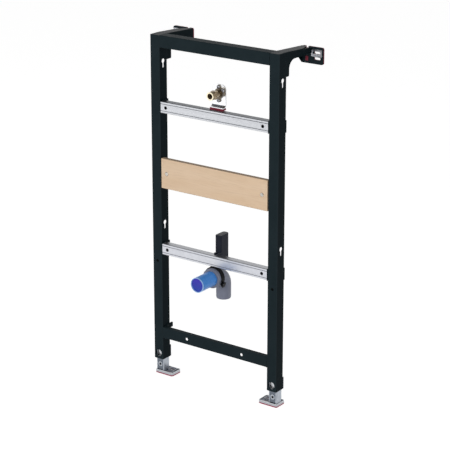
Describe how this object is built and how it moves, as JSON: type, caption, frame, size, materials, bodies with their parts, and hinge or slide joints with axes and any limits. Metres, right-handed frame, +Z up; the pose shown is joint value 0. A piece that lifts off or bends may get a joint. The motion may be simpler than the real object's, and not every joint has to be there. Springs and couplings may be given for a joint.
{
  "type": "urinal installation frame",
  "caption": "Black steel frame for hanging a urinal in a lightweight wall, with fixing rails, a plywood board, supply elbow, drain bend, wall arms and telescopic feet.",
  "frame": {"origin": "middle of the left foot's underside, on the floor", "axes": "+Z up, +Y back towards the wall, +X along the frame from the left foot to the right foot as seen from the front"},
  "size_m": [0.586, 0.275, 1.175],
  "materials": {
    "black_powder_coat": "satin black powder coat on sheet steel",
    "galvanised_steel": "galvanised sheet steel",
    "bright_zinc": "bright zinc-plated sheet steel",
    "red_rubber": "dark red sound-damping rubber",
    "birch_plywood": "pale sanded birch plywood",
    "brass": "dull cast brass, turned socket",
    "screw_steel": "grey zinc-plated steel",
    "grey_plastic": "grey drain-pipe plastic",
    "blue_plastic": "blue protective plastic",
    "black_plastic": "black moulded plastic"
  },
  "bodies": {
    "left_foot": {"left_foot_leg": "galvanised_steel", "left_foot_pad": "red_rubber", "left_foot_plate": "galvanised_steel", "left_foot_washer": "galvanised_steel"},
    "frame": {"bottom_bar": "black_powder_coat", "drain_cap": "blue_plastic", "drain_clamp": "black_plastic", "drain_elbow": "grey_plastic", "drain_holder": "black_plastic", "left_board_tab": "black_powder_coat", "left_foot_guide": "black_plastic", "left_foot_lock": "galvanised_steel", "left_post": "black_powder_coat", "left_wall_arm": "black_powder_coat", "left_wall_pad": "red_rubber", "left_wall_plate": "black_powder_coat", "left_wall_washer": "galvanised_steel", "lower_left_clip": "black_powder_coat", "lower_rail": "galvanised_steel", "lower_right_clip": "black_powder_coat", "mounting_board": "birch_plywood", "right_board_tab": "black_powder_coat", "right_foot_guide": "black_plastic", "right_foot_lock": "galvanised_steel", "right_post": "black_powder_coat", "right_wall_arm": "black_powder_coat", "right_wall_pad": "red_rubber", "right_wall_plate": "black_powder_coat", "right_wall_washer": "galvanised_steel", "supply_bracket": "bright_zinc", "supply_elbow": "brass", "supply_pad": "red_rubber", "supply_screws": "screw_steel", "top_bar": "black_powder_coat", "upper_left_clip": "black_powder_coat", "upper_rail": "galvanised_steel", "upper_right_clip": "black_powder_coat"},
    "right_foot": {"right_foot_leg": "galvanised_steel", "right_foot_pad": "red_rubber", "right_foot_plate": "galvanised_steel", "right_foot_washer": "galvanised_steel"}
  },
  "joints": [
    {"name": "left_foot_slide", "type": "slide", "parent": "left_foot", "child": "frame", "axis": [0, 0, 1], "range_m": [-0.035, 0.165]},
    {"name": "right_foot_slide", "type": "slide", "parent": "frame", "child": "right_foot", "axis": [0, 0, -1], "range_m": [-0.035, 0.165]}
  ]
}
